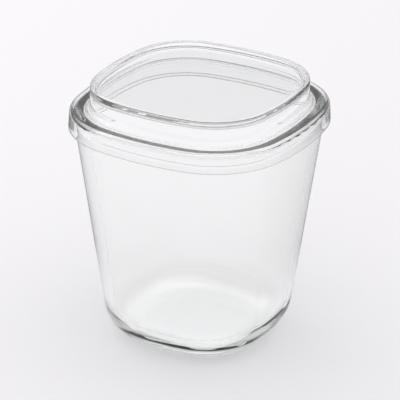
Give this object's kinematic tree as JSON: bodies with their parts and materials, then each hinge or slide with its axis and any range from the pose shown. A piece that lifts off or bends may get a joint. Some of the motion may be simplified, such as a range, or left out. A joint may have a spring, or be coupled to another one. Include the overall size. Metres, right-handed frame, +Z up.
{
  "type": "glass food container",
  "caption": "Clear glass food container with tapered rounded-square walls and a clear lift-off lid, whose raised ring holds the foot of the next container.",
  "frame": {"origin": "centre of the foot, on the table", "axes": "+Z up through the container and the lid; +X and +Y square to the sides"},
  "size_m": [0.1, 0.1, 0.1137],
  "materials": {
    "glass": "clear pressed soda-lime glass, fire-polished",
    "clear_plastic": "clear injection-moulded plastic, glossy"
  },
  "bodies": {
    "root": {"glass_container": "glass", "lid": "clear_plastic"}
  },
  "joints": []
}
